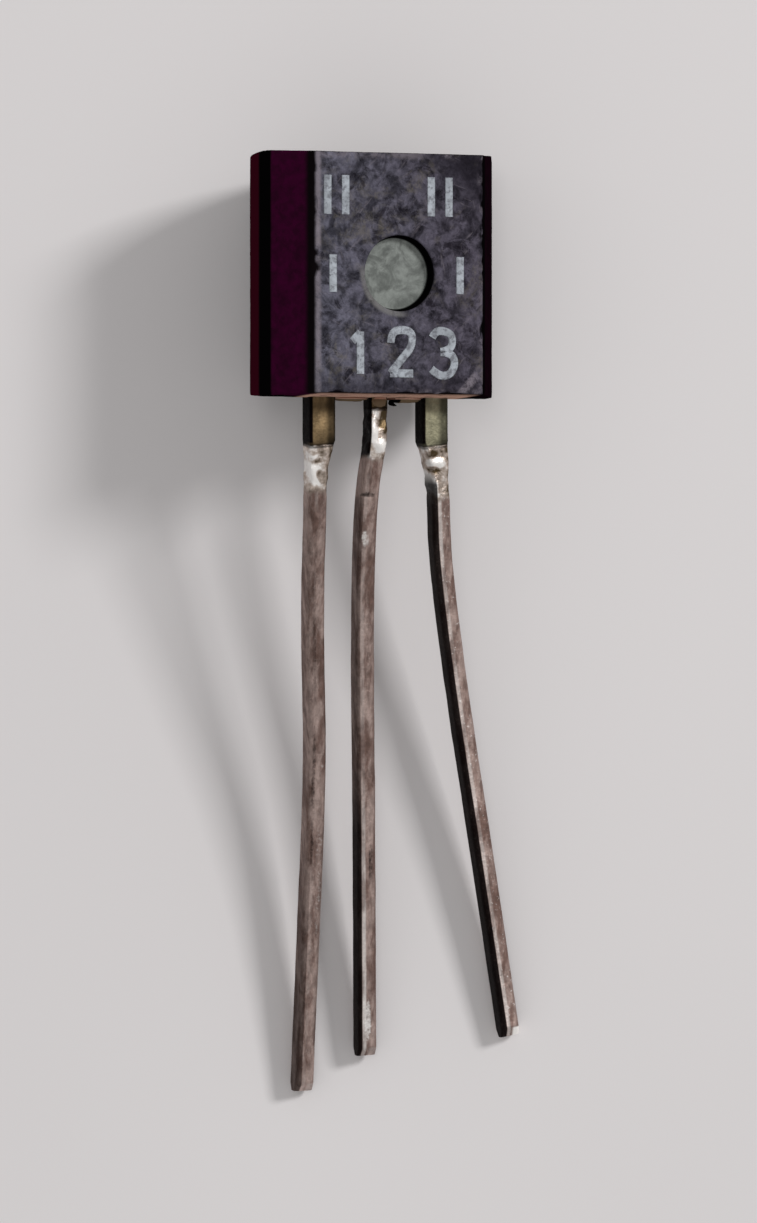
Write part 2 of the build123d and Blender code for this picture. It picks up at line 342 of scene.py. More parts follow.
def moulding_finish(tree, shader):
    """Black filled epoxy: a scuffed grey flat with a pale recess, and smoother, darker faces elsewhere, with
    painted shade, highlights and reflections in its colour.
    """
    body = bpy.context.scene.transistor_body
    colours = bpy.context.scene.transistor_finishes
    place = place_in_body(tree)
    across, along, outward = split(tree, place)
    flat = body.flat_height / MM
    half_length = body.length / MM / 2
    half_width = flat_half_width(body) / MM
    from_middle = along - half_length
    radius = (across * across + from_middle * from_middle).math("SQRT")

    def cloud(*recipe):
        return speckle(tree, place, *recipe)

    clouds = cloud(0.9, 4, 0.6, 0.6)
    patches = cloud(2.9, 5, 0.62, 0.8, 3.0)
    grit = cloud(11.0, 5, 0.65, 0.4, 7.0)
    grain = cloud(30.0, 3, 0.6, 0.0, 5.0)
    broken = cloud(2.6, 5, 0.7, 0.5, 9.0)

    # How far each place is from the rim of the flat, and which surface it is on
    on_flat = outward.rise(flat - 0.075, flat - 0.03)
    to_border = (half_width - across.size()).least(half_length - 0.06 - from_middle.size())
    recess_floor = body.mark_width / MM / 2
    near_flat = outward.rise(flat - 0.50, flat - 0.40)
    in_recess = radius.rise(recess_floor + 0.01, recess_floor - 0.02)
    in_recess = in_recess * outward.rise(flat - 0.24, flat - 0.27) * near_flat
    # The recess wall, painted near-black as shade
    shaded_recess_wall = radius.rise(recess_floor + 0.06, recess_floor + 0.03)
    shaded_recess_wall = shaded_recess_wall * outward.rise(flat - 0.02, flat - 0.06) * near_flat

    # The flat: painted paler at its left and darker to its right as shading, mottled, with stains, dust and
    # scratches
    # Painted shading: the flat's colour darkens from its left to its right
    shade_to_right = (across + (clouds - 0.5) * 2.2 + (patches - 0.5) * 0.8).rise(-half_width - 0.3, half_width)
    flat_colour = blend(tree, shade_to_right, colours.flat_lit_left, colours.flat_shaded_right)
    mottle = patches.rise(0.36, 0.64, 0.42, 1.5) * grit.rise(0.30, 0.70, 0.72, 1.28)
    flat_colour = shaded(tree, flat_colour, mottle)
    dusty = cloud(1.7, 5, 0.65, 0.9, 15.0).rise(0.50, 0.68) * grit.rise(0.35, 0.6)
    flat_colour = blend(tree, dusty * 0.5, flat_colour, colours.dust)
    stains_and_darkening = cloud(2.3, 5, 0.66, 0.7, 17.0).rise(0.53, 0.66)
    # Besides the stains: darker towards the bottom edge and towards the top right corner
    stains_and_darkening = stains_and_darkening.most(along.rise(0.5, 0.12) * patches * 1.3)
    stains_and_darkening = stains_and_darkening.most((across + along).rise(4.9, 6.3) * patches.rise(0.3, 0.55, 0.5, 1.1))
    flat_colour = blend(tree, stains_and_darkening.least(1.0) * 0.72, flat_colour, colours.stain)
    scratches = scratch_lines(tree, place)
    flat_colour = blend(tree, scratches * 0.35, flat_colour, colours.scuff)

    # Wear and painted highlights: a pale painted highlight down the worn left edge, a broken pale line along
    # the top that is wear with a painted highlight, worn rims, and a scuffed lower right corner
    left_edge_highlight = across.rise(-half_width + 0.14, -half_width + 0.05) * broken.rise(0.36, 0.56, 0.2, 0.75)
    top_edge_wear_and_highlight = from_middle.rise(half_length - 0.24, half_length - 0.13) * across.rise(0.9, 0.2)
    top_edge_wear_and_highlight = top_edge_wear_and_highlight * broken.rise(0.42, 0.56, 0.05, 0.5)
    rim_wear = to_border.rise(0.16, 0.0) * broken.rise(0.50, 0.66, 0.0, 0.6)
    # All pale: the wear, and the painted highlights along the left and top edges
    worn = left_edge_highlight.most(top_edge_wear_and_highlight).most(rim_wear).most(corner_scuff(tree, place, grit))
    flat_colour = blend(tree, worn, flat_colour, colours.scuff)

    # The recess: a floor with stains, painted pale as a reflection, inside a wall painted near-black as
    # shade, with a pale arc on its rim that is rubbed and painted as a highlight
    soft_stain = cloud(2.0, 5, 0.62, 1.6, 11.0).rise(0.36, 0.62, 0.62, 1.12)
    speck = cloud(9.0, 4, 0.6, 0.2, 12.0).rise(0.3, 0.7, 0.86, 1.1)
    recess_reflection_colour = shaded(tree, colours.recess, soft_stain * speck)
    # A pale arc on the lower left of the rim: rubbed, and painted pale as a highlight
    crescent = radius.rise(recess_floor + 0.20, recess_floor + 0.11)
    crescent = crescent * (across + from_middle).rise(-0.55, -0.95)
    flat_colour = blend(tree, crescent * broken.rise(0.35, 0.5, 0.35, 0.8), flat_colour, colours.rub)

    # Smooth faces: nearly black, with painted shade on the straight sides and the right of the body, a
    # painted reflection low on the left of the round back, and a painted plum reflection down the left flank
    painted_sheen = outward.rise(0.50, 0.57) * outward.rise(flat - 0.15, flat - 0.27)
    painted_sheen = painted_sheen * across.rise(0.5, -0.5, 0.12, 1.0)
    painted_sheen = painted_sheen * cloud(5.0, 5, 0.65, 0.3, 13.0).rise(0.3, 0.7, 0.45, 1.0)
    shaded_side_band = outward.rise(-0.12, 0.0) * outward.rise(0.56, 0.50)
    back_reflection = outward.rise(-0.02, -0.14) * outward.rise(-1.9, -1.0) * across.rise(-0.6, -1.4)
    smooth_colour = blend(tree, shaded_side_band.most(across.rise(0.8, 1.6)), colours.epoxy, colours.side)
    smooth_colour = blend(tree, back_reflection, smooth_colour, colours.back)
    smooth_colour = blend(tree, painted_sheen, smooth_colour, colours.flank)
    # The foot face: resin, painted bright as a highlight
    foot_resin_and_highlight = along.rise(0.08, 0.04) * across.size().rise(half_width + 0.05, half_width - 0.15)
    foot_resin_and_highlight = foot_resin_and_highlight * outward.rise(-0.1, 0.1) * broken.rise(0.35, 0.5, 0.3, 0.9)
    smooth_colour = blend(tree, foot_resin_and_highlight, smooth_colour, colours.foot)
    hook = across.rise(0.22, 0.25) * across.rise(0.5, 0.47)
    squeezed = blend(tree, hook, colours.flash, colours.side)
    smooth_colour = blend(tree, along.rise(-0.01, -0.03), smooth_colour, squeezed)

    colour = blend(tree, on_flat, smooth_colour, flat_colour)
    colour = blend(tree, shaded_recess_wall, colour, colours.side)
    colour = blend(tree, in_recess, colour, recess_reflection_colour)
    feed(tree, shader.inputs["Base Color"], colour)

    flat_roughness = grit.rise(0.3, 0.7, 0.60, 0.80)
    roughness = on_flat * flat_roughness + (1 - on_flat) * grit.rise(0.3, 0.7, 0.38, 0.48)
    feed(tree, shader.inputs["Roughness"], roughness.most(in_recess * 0.55))
    shader.inputs["Specular IOR Level"].default_value = 0.0
    rough_height = patches * 0.45 + grit * 0.35 + grain * 0.2 - stains_and_darkening * 0.4 - scratches * 0.15
    height = rough_height * (on_flat * 0.92 + 0.08) * (1 - in_recess * 0.75)
    bump(tree, shader, height, 0.045)


# Scuff at the lower right corner of the flat: its middle and half sizes in millimetres, and its turn
SCUFF_MIDDLE = (1.56, 0.28)
SCUFF_HALF_WIDTH = 0.12
SCUFF_HALF_LENGTH = 0.34
SCUFF_TURN = 0.75


def corner_scuff(tree, place, grit):
    """A long soft-edged scuff that lies across the lower right corner of the flat."""
    x, y, _ = split(tree, turned(tree, place, turn=(0, 0, SCUFF_TURN), scale=(1, 1, 0)))
    across, along = SCUFF_MIDDLE
    middle_x = across * math.cos(SCUFF_TURN) - along * math.sin(SCUFF_TURN)
    middle_y = across * math.sin(SCUFF_TURN) + along * math.cos(SCUFF_TURN)
    wide = (x - middle_x).size().rise(SCUFF_HALF_WIDTH, SCUFF_HALF_WIDTH * 0.4)
    long = (y - middle_y).size().rise(SCUFF_HALF_LENGTH, SCUFF_HALF_LENGTH * 0.5)
    return wide * long * grit.rise(0.35, 0.6, 0.1, 0.8)


def scratch_lines(tree, place):
    """Fine scratches in a few directions across the flat."""
    total = None
    for turn, stretch, seed in ((0.35, 7.0, 1.0), (-0.9, 6.0, 2.0), (1.35, 9.0, 4.0), (2.3, 6.0, 6.0)):
        drawn_out = turned(tree, turned(tree, place, turn=(0, 0, turn)), scale=(1.0, stretch, 1.0))
        line = speckle(tree, drawn_out, 1.7, 3, 0.6, 0.25, seed).rise(0.62, 0.76)
        total = line if total is None else total.most(line)
    return total


# What a lead's finish reads at each point, as the lead tree notes it and as tin_beads() does
TREE_NOTES = ("below_body", "from_tip", "left_to_right", "foot_to_front", "tinned_from", "bright_length")
BEAD_NOTES = ("bead_light", "side_shade", "ridge", "green", "fresh")


def lead_finish(tree, shader):
    """Bare darkened alloy next to the body, bright lumpy tin at the taper, and dull tin beyond, with painted
    shade and highlights in the colour.
    """
    colours = bpy.context.scene.transistor_finishes
    place = place_in_body(tree)

    def noted(names):
        nodes = [add(tree, "ShaderNodeAttribute", attribute_name=name) for name in names]
        return [Wire(tree, node.outputs["Fac"]) for node in nodes]

    below, from_tip, rightward, frontward, tinned_from, bright_length = noted(TREE_NOTES)
    bead_light, side_shade, ridge, green, fresh = noted(BEAD_NOTES)

    clouds = speckle(tree, place, 2.5, 5, 0.6, 0.4)
    lumps = speckle(tree, place, 5.0, 3, 0.55, 0.5, 6.0)
    streaks = speckle(tree, turned(tree, place, scale=(3.4, 0.8, 3.4)), 1.2, 4, 0.6, 0.3, 2.0)
    fine_streaks = speckle(tree, turned(tree, place, scale=(6.0, 3.0, 6.0)), 1.8, 4, 0.6, 0.6, 8.0)
    grit = speckle(tree, place, 15.0, 4, 0.6, 0.0, 4.0)

    # Tin: dull and softly mottled along the lead, with a painted highlight or a dark line down its front
    tinned = (below + (clouds - 0.5) * 0.12 - tinned_from).rise(-0.02, 0.02)
    bright = (below + (clouds - 0.5) * 0.4 - tinned_from - bright_length).rise(0.12, -0.06)
    dull = blend(tree, streaks.rise(0.38, 0.62), colours.tin, colours.tin_brown_and_shade)
    dull = shaded(tree, dull, fine_streaks.rise(0.28, 0.72, 0.70, 1.16))
    on_ridge = (rightward + 0.56).size().rise(0.30, 0.10) * frontward.rise(0.2, 0.7)
    ridge_highlight = on_ridge * ridge.most(0.0) * streaks.rise(0.64, 0.42, 0.35, 0.9)
    dull = blend(tree, ridge_highlight, dull, colours.tin_highlight)
    dark_line = on_ridge * (ridge * -1).most(0.0) * streaks.rise(0.40, 0.60, 0.5, 1.0)
    dull = blend(tree, dark_line, dull, colours.painted_lead_shade)
    # Painted shade: the tin darker towards the right of the lead
    dull = blend(tree, rightward.rise(0.55, 0.95) * 0.75, dull, colours.tin_brown_and_shade)
    # Painted glints on the tin, strongest on the emitter
    dull = blend(tree, grit.rise(0.58, 0.70) * fresh * 0.5, dull, colours.tin_highlight)
    # Painted shade where the tone noted at each point is low, and painted highlights where it is high
    broken = (streaks - 0.5) * 0.9 + (grit - 0.5) * 0.7
    dull = blend(tree, (0.5 - bead_light + broken).rise(0.22, 0.62) * 0.8, dull, colours.painted_lead_shade)
    dull = blend(tree, (bead_light - 0.5 + broken).rise(0.22, 0.62) * 0.8, dull, colours.tin_highlight)

    # Tin: lumpy where the dipping stopped, painted dark as shade in its hollows, painted bright as
    # highlights on some lumps, and painted darker to the right as shade
    tone = bead_light - 0.02 + (lumps - 0.5) * 1.5 + (grit - 0.5) * 0.5 - rightward.rise(0.3, 0.8) * 0.22
    lumpy = blend(tree, tone.ramp(0.10, 0.50), colours.tin_hollow_shade, colours.lump_tin)
    lump_highlight = tone.ramp(0.50, 0.85)
    lumpy = blend(tree, lump_highlight, lumpy, colours.tin_highlight)
    tin = blend(tree, bright, dull, lumpy)

    # Bare alloy: olive brown, greened on one lead, painted darker to the right as shade, and darker towards
    # its end
    bare = blend(tree, (green + clouds - 0.5).rise(0.3, 0.8), colours.bare, colours.bare_green)
    shade = fine_streaks.rise(0.3, 0.7, 0.78, 1.1) * clouds.rise(0.35, 0.65, 0.66, 1.2)
    shade = shade * rightward.rise(0.1, 0.55, 1.0, 0.3) * (tinned_from - below).rise(0.22, 0.05, 1.0, 0.5)
    colour = blend(tree, tinned, shaded(tree, bare, shade), tin)

    # Side faces painted dark as shade, and a dark line stands where the dipping stopped
    left_face = rightward.rise(-0.72, -0.84)
    right_face = rightward.rise(0.86, 0.96) * 0.85
    painted_shade = (left_face * side_shade).most(right_face * (1 - bright * tinned * 0.6))
    colour = blend(tree, painted_shade * grit.rise(0.25, 0.5, 0.94, 1.0), colour, colours.painted_lead_shade)
    stop_line = (below - tinned_from).size().rise(0.06, 0.02) * clouds.rise(0.34, 0.46)
    colour = blend(tree, stop_line * 0.75, colour, colours.painted_lead_shade)
    # The cut tip: bare fresh metal, painted pale as a highlight
    cut = from_tip.rise(0.20, 0.15) * rightward.rise(-0.3, 0.1) * fresh
    colour = blend(tree, cut, colour, colours.tin_highlight)
    feed(tree, shader.inputs["Base Color"], colour)
    # Metallic lowered on the painted highlights, so that they render paler
    feed(tree, shader.inputs["Metallic"], 0.85 - (lump_highlight * bright * tinned).most(cut) * 0.5)
    shader.inputs["Specular IOR Level"].default_value = 0.1
    roughness = tinned * (bright * -0.10 + 0.46) + (1 - tinned) * 0.5 + (grit - 0.5) * 0.2
    feed(tree, shader.inputs["Roughness"], roughness + painted_shade * 0.2)
    height = grit * 0.25 + clouds * 0.25 + fine_streaks * 0.2 + lumps * bright * tinned * 0.7
    bump(tree, shader, height, 0.03)


def ink_finish(tree, shader):
    """Thin pale print, rubbed away in places."""
    colours = bpy.context.scene.transistor_finishes
    place = place_in_body(tree)
    rubbed = speckle(tree, place, 7.0, 6, 0.7, 0.3, 21.0).rise(0.46, 0.64)
    shade = speckle(tree, place, 3.5, 4, 0.6, 0.0, 23.0).rise(0.3, 0.7, 0.66, 1.08)
    ink = shaded(tree, colours.ink, shade)
    feed(tree, shader.inputs["Base Color"], blend(tree, rubbed * 0.7, ink, colours.flat_shaded_right))
    shader.inputs["Roughness"].default_value = 0.7
    bump(tree, shader, rubbed, 0.006)


def held_finish(name, grain, tones, metallic, roughness):
    """The finish of a piece that the body holds: one colour with a fine grain in it."""
    def finish(tree, shader):
        colour = getattr(bpy.context.scene.transistor_finishes, name)
        tone = speckle(tree, place_in_body(tree), *grain).rise(*tones)
        feed(tree, shader.inputs["Base Color"], shaded(tree, colour, tone))
        shader.inputs["Metallic"].default_value = metallic
        shader.inputs["Roughness"].default_value = roughness

    return finish


# The moulded body: how finely its roundings and ends are meshed, and how soft its parting line is
CORNER_STEPS = 4
CAP_STEPS = 16
ROUND_STEPS = 5
FLAT_STEPS = 26
PARTING_SOFT = 0.05 * MM
RECESS_FLOOR_ROUND = 0.035 * MM
RECESS_RIM_STEPS = 6
RECESS_WALL_STEPS = 5
RECESS_CORNER_STEPS = 4
RECESS_FLOOR_STEPS = 12
WELD_DISTANCE = 0.0005 * MM
SHARP_ANGLE = math.radians(50)


def flat_half_width(body):
    """Half the width of the flat between its sharp corners."""
    return body.back_radius - body.flank_depth * math.tan(body.flank_angle)


def spread(start, end, count):
    """Evenly spaced points from start up to, but without, end."""
    return [start.lerp(end, step / count) for step in range(count)]


def round_the(centre, start, end, count):
    """Points on an arc clockwise round a centre, from start up to, but without, end."""
    first = math.atan2(start.y - centre.y, start.x - centre.x)
    last = math.atan2(end.y - centre.y, end.x - centre.x)
    if last > first:
        last -= 2 * math.pi
    radius = (start - centre).length
    angles = [first + (last - first) * step / count for step in range(count)]
    return [centre + Vector((math.cos(angle), math.sin(angle))) * radius for angle in angles]


def section_steps(body):
    """How many faces go across the flat, down a flank, down a side and round the back."""
    step = body.mesh_step
    flat = 2 * round(flat_half_width(body) / step)
    flank = round(body.flank_depth / math.cos(body.flank_angle) / step)
    side = round((body.flat_height - body.flank_depth) / step)
    return flat, flank, side, 2 * round(body.back_radius * math.pi / step / 2)


def body_section(body, inset=0.0):
    """The body's outline across its length, set in by a distance, clockwise from the flat's left end."""
    flat_steps, flank_steps, side_steps, back_steps = section_steps(body)
    corner = body.edge_round - inset
    flank_out = Vector((math.cos(body.flank_angle), math.sin(body.flank_angle)))
    flank_at = flank_out.dot(Vector((flat_half_width(body), body.flat_height))) - inset - corner
    flat_at = body.flat_height - inset - corner
    side_at = body.back_radius - inset - corner

    # Middles of the roundings where the flank meets the flat, and where it meets the side
    upper = Vector(((flank_at - flank_out.y * flat_at) / flank_out.x, flat_at))
    lower = Vector((side_at, (flank_at - flank_out.x * side_at) / flank_out.y))
    right = [
        upper + Vector((0, corner)),
        upper + flank_out * corner,
        lower + flank_out * corner,
        lower + Vector((corner, 0)),
        Vector((side_at + corner, 0)),
    ]
    left = [Vector((-point.x, point.y)) for point in right]
    stops = [left[0]] + right + left[::-1]
    back = Vector((0, 0))
    centres = [None, upper, None, lower, None, back, None, (-lower.x, lower.y), None, (-upper.x, upper.y)]
    down = (CORNER_STEPS, flank_steps, CORNER_STEPS, side_steps)
    counts = (flat_steps, *down, back_steps, *down[::-1])
    points = []
    for start, end, centre, count in zip(stops, stops[1:], centres, counts):
        if centre is None:
            points += spread(start, end, count)
        else:
            points += round_the(Vector(centre), start, end, count)
    return points


def end_fall(body, outward):
    """How far an end has fallen away from the parting line at some height, softly at the line itself."""
    away = outward - body.parting_height
    return (math.hypot(away, PARTING_SOFT) - PARTING_SOFT) * math.tan(body.end_draft)


def body_rings(body):
    """The body's skin as rings of points, from the middle of one end to the middle of the other."""
    def end_rings(top):
        def along(outward, depth):
            near = end_fall(body, outward) + depth
            return body.length - near if top else near

        rings = []
        rim = body_section(body, body.end_round)
        middle = Vector((0, body.parting_height))
        for step in range(1, CAP_STEPS):
            ring = [middle.lerp(point, step / CAP_STEPS) for point in rim]
            rings.append([Vector((p.x, along(p.y, 0), p.y)) for p in ring])
        for step in range(ROUND_STEPS + 1):
            angle = math.pi / 2 * step / ROUND_STEPS
            inset = body.end_round * (1 - math.sin(angle))
            depth = body.end_round * (1 - math.cos(angle))
            rings.append([Vector((p.x, along(p.y, depth), p.y)) for p in body_section(body, inset)])
        return rings

    foot = end_rings(False)
    top = end_rings(True)
    long_steps = round(body.length / body.mesh_step)
    sides = []
    for step in range(1, long_steps):
        sides.append([a.lerp(b, step / long_steps) for a, b in zip(foot[-1], top[-1])])
    return foot, sides, top[::-1]


def quads_between(bm, first, second, closed=True):
    """Joins two equal rows of vertices with faces."""
    count = len(first)
    for i in range(count if closed else count - 1):
        j = (i + 1) % count
        bm.faces.new((first[i], first[j], second[j], second[i]))


def close_end(bm, ring, middle):
    """Closes a ring with a fan of faces round a middle point."""
    hub = bm.verts.new(middle)
    for i in range(len(ring)):
        bm.faces.new((ring[i], ring[(i + 1) % len(ring)], hub))


def recess_profile(body):
    """The mould-pin recess from the flat inwards, as (radius, depth) points."""
    floor = body.mark_width / 2
    rim = floor + body.mark_depth * math.tan(body.mark_draft)
    rounding = body.mark_round
    points = []
    lift = RECESS_FLOOR_ROUND
    for step in range(RECESS_RIM_STEPS + 1):
        angle = math.pi / 2 * step / RECESS_RIM_STEPS
        points.append((rim + rounding * (1 - math.sin(angle)), rounding * (1 - math.cos(angle))))
    for step in range(1, RECESS_WALL_STEPS):
        share = step / RECESS_WALL_STEPS
        depth = rounding + (body.mark_depth - lift - rounding) * share
        points.append((rim + (floor - rim) * share, depth))
    for step in range(RECESS_CORNER_STEPS + 1):
        angle = math.pi / 2 * step / RECESS_CORNER_STEPS
        across = floor - lift * (1 - math.cos(angle))
        points.append((across, body.mark_depth - lift * (1 - math.sin(angle))))
    for step in range(1, RECESS_FLOOR_STEPS):
        points.append(((floor - lift) * (1 - step / RECESS_FLOOR_STEPS), body.mark_depth))
    return points


def flat_patch(bm, body, border):
    """The flat, from its rectangular border in to the recess, and the recess itself."""
    middle = Vector((0, body.length / 2, body.flat_height))
    profile = recess_profile(body)
    headings = [math.atan2(point.y - middle.y, point.x) for point in border]
    rays = [Vector((math.cos(heading), math.sin(heading), 0)) for heading in headings]
    outer = profile[0][0]
    rows = []
    for step in range(FLAT_STEPS + 1):
        share = 1 - (1 - step / FLAT_STEPS) ** 1.25
        rows.append([point.lerp(middle + ray * outer, share) for point, ray in zip(border, rays)])
    for radius, depth in profile[1:]:
        rows.append([middle + ray * radius - Vector((0, 0, depth)) for ray in rays])
    rows = [[bm.verts.new(point) for point in row] for row in rows]
    for first, second in zip(rows, rows[1:]):
        quads_between(bm, first, second)
    close_end(bm, rows[-1], middle - Vector((0, 0, body.mark_depth)))


# How far the skin wears back, in millimetres: beside an edge, in a chip there, and in slow and fine waves
EDGE_REACH = 0.16
EDGE_WEAR = 0.012
CHIP_DEPTH = 0.09
SLOW_DEPTH = 0.004
FINE_DEPTH = 0.0022
END_MARGIN = 0.05


def wear(body, point):
    """How far the skin has worn back at a place: chips along its edges, and a hardly uneven face."""
    place = point / MM
    across, along, outward = place
    half_width = flat_half_width(body) / MM
    flat = body.flat_height / MM
    long_edge = math.hypot(abs(across) - half_width, outward - flat)
    end_gap = max(0.0, min(along, body.length / MM - along) - END_MARGIN)
    end_edge = math.hypot(end_gap, max(0.0, flat - outward))
    if abs(across) > half_width + 0.1:
        end_edge = end_gap + 0.08
    near = max(0.0, 1 - min(long_edge, end_edge) / EDGE_REACH)
    chips = max(0.0, noise.fractal(place * 3.1 + Vector((7, 3, 1)), 1.0, 2.0, 4) - 0.12)
    slow = SLOW_DEPTH * (1 + noise.noise(place * 0.9 + Vector((2, 5, 9))))
    fine = FINE_DEPTH * (1 + noise.fractal(place * 5.0, 1.0, 2.0, 3))
    return (near * (EDGE_WEAR + CHIP_DEPTH * chips) + slow + fine) * MM


# Resin squeezed out at the parting line under the leads: middle, half sizes, turn in degrees and lean
FLASHES = [
    ((0.62, -0.02, 0.25), (0.36, 0.07, 0.19), 0, 0.0),
    ((-0.60, -0.01, 0.22), (0.40, 0.06, 0.19), 0, 0.0),
    ((0.0, -0.07, 0.32), (0.20, 0.14, 0.16), 0, 0.0),
    ((0.33, -0.09, 0.24), (0.055, 0.10, 0.05), 20, 0.9),
]


FLASH_RINGS = 10
FLASH_SIDES = 16


def resin_flash(bm, middle, size, turn, lean):
    """A small uneven closed lump of resin standing out of the parting line."""
    rows = []
    for ring in range(1, FLASH_RINGS):
        polar = math.pi * ring / FLASH_RINGS
        wide = math.sin(polar)
        row = []
        for step in range(FLASH_SIDES):
            angle = 2 * math.pi * step / FLASH_SIDES
            local = Vector((math.cos(angle) * wide, -math.cos(polar), math.sin(angle) * wide))
            local = local * (1 + 0.25 * noise.noise(local * 1.7 + middle / MM * 3))
            local = Matrix.Diagonal(size) @ local
            local.x += lean * local.y * local.y / size.y
            row.append(bm.verts.new(middle + Matrix.Rotation(turn, 3, "Z") @ local))
        rows.append(row)
    for first, second in zip(rows, rows[1:]):
        quads_between(bm, first, second)
    for row in (rows[0], rows[-1]):
        centre = sum((v.co for v in row), Vector()) / len(row)
        close_end(bm, row, centre)


def body_mesh(body):
    """The whole skin of the body, still upright."""
    bm = bmesh.new()
    foot, sides, top = body_rings(body)
    flat_steps = section_steps(body)[0]
    for rings in (foot, top):
        rows = [[bm.verts.new(point) for point in ring] for ring in rings]
        for first, second in zip(rows, rows[1:]):
            quads_between(bm, first, second)
    for rings, hub in ((foot[0], 0.0), (top[-1], body.length)):
        ring = [bm.verts.new(point) for point in rings]
        close_end(bm, ring, Vector((0, hub, body.parting_height)))
    tube = [foot[-1]] + sides + [top[0]]
    rows = [[bm.verts.new(point) for point in ring[flat_steps:] + ring[:1]] for ring in tube]
    for first, second in zip(rows, rows[1:]):
        quads_between(bm, first, second, closed=False)
    border = tube[0][: flat_steps + 1]
    border += [ring[flat_steps] for ring in tube[1:-1]]
    border += tube[-1][flat_steps::-1]
    border += [ring[0] for ring in tube[-2:0:-1]]
    flat_patch(bm, body, border)
    bmesh.ops.remove_doubles(bm, verts=bm.verts, dist=WELD_DISTANCE)
    bmesh.ops.recalc_face_normals(bm, faces=bm.faces)
    bm.normal_update()
    moved = [vert.co - vert.normal * wear(body, vert.co) for vert in bm.verts]
    for vert, place in zip(bm.verts, moved):
        vert.co = place
    return bm


def finished_mesh(bm, name):
    """A plain mesh out of a bmesh, smooth but for its sharp edges."""
    bmesh.ops.recalc_face_normals(bm, faces=bm.faces)
    mesh = bpy.data.meshes.new(name)
    bm.to_mesh(mesh)
    bm.free()
    mesh.shade_smooth()
    mesh.set_sharp_from_angle(angle=SHARP_ANGLE)
    return mesh


def settled_piece(name, mesh, material, slot, *replaced):
    """A piece in the scene that rides on the one body and stands for the nodes that it replaces."""
    piece = bpy.data.objects.new(name, mesh)
    bpy.context.scene.collection.objects.link(piece)
    mesh.materials.clear()
    mesh.materials.append(material)
    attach(piece, "root")
    if replaced:
        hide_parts(*replaced)
    return piece


class TRANSISTOR_OT_body(bpy.types.Operator):
    """Models the moulded body with its flat, flanks, round back, mould-pin recess and flash"""

    bl_idname = "transistor.body"
    bl_label = "Moulded body"

    def execute(self, context):
        body = context.scene.transistor_body
        bm = body_mesh(body)
        for middle, size, turn, lean in FLASHES:
            resin_flash(bm, Vector(middle) * MM, Vector(size) * MM, math.radians(turn), lean)
        for vert in bm.verts:
            vert.co = lying(*vert.co)
        mesh = finished_mesh(bm, "body_skin")
        material = surface("Filled epoxy", moulding_finish)
        settled_piece("body_skin", mesh, material, "moulding", "moulded_body")
        return {"FINISHED"}


# The leads

def new_tree(name, **inputs):
    """A geometry tree and the values that it is given, from the names of its inputs of each kind."""
    tree = bpy.data.node_groups.new(name, "GeometryNodeTree")
    tree.interface.new_socket("Geometry", in_out="OUTPUT", socket_type="NodeSocketGeometry")
    for kind, names in inputs.items():
        for title in names:
            tree.interface.new_socket(title, in_out="INPUT", socket_type="NodeSocket" + kind)
    return tree, add(tree, "NodeGroupInput").outputs


def finish_tree(tree, geometry, material):
    """Ends a geometry tree with plain geometry that has its material."""
    real = made(tree, "GeometryNodeRealizeInstances", {"Geometry": geometry})
    finished = made(tree, "GeometryNodeSetMaterial", {"Geometry": real, "Material": material})
    add(tree, "NodeGroupOutput", {"Geometry": finished})


def curve_object(name, lines, resolution=None):
    """A curve object with a smooth line for each row of points, which touches only the ends of its row."""
    curve = bpy.data.curves.new(name, "CURVE")
    curve.dimensions = "3D"
    for points in lines:
        spline = curve.splines.new("NURBS")
        spline.points.add(len(points) - 1)
        for point, place in zip(spline.points, points):
            point.co = (*place, 1)
        spline.order_u = min(3, len(points))
        spline.use_endpoint_u = True
        if resolution:
            spline.resolution_u = resolution
    holder = bpy.data.objects.new(name, curve)
    bpy.context.scene.collection.objects.link(holder)
    return holder


def mesh_along(holder, tree, values):
    """The plain mesh that a geometry tree makes along a curve object, which is then removed."""
    modifier = holder.modifiers.new("Shape", "NODES")
    modifier.node_group = tree
    for item in tree.interface.items_tree:
        if item.in_out == "INPUT" and item.name in values:
            modifier[item.identifier] = values[item.name]
    depsgraph = bpy.context.evaluated_depsgraph_get()
    mesh = bpy.data.meshes.new_from_object(holder.evaluated_get(depsgraph))
    holder.modifiers.remove(modifier)
    bpy.data.objects.remove(holder)
    return mesh


# How a lead is meshed and shaped, and how far its lumpy tin reaches from where the tin starts
CORNER_POINTS = 5
SECTION_POINTS = 44
LEAD_SPACING = 0.045 * MM
SHOULDER_EASE = 2.2
CUT_LENGTH = 0.16 * MM
CUT_THICKNESS = 0.45
LUMPY_FADE = 0.7 * MM
LUMPY_END = 1.2 * MM


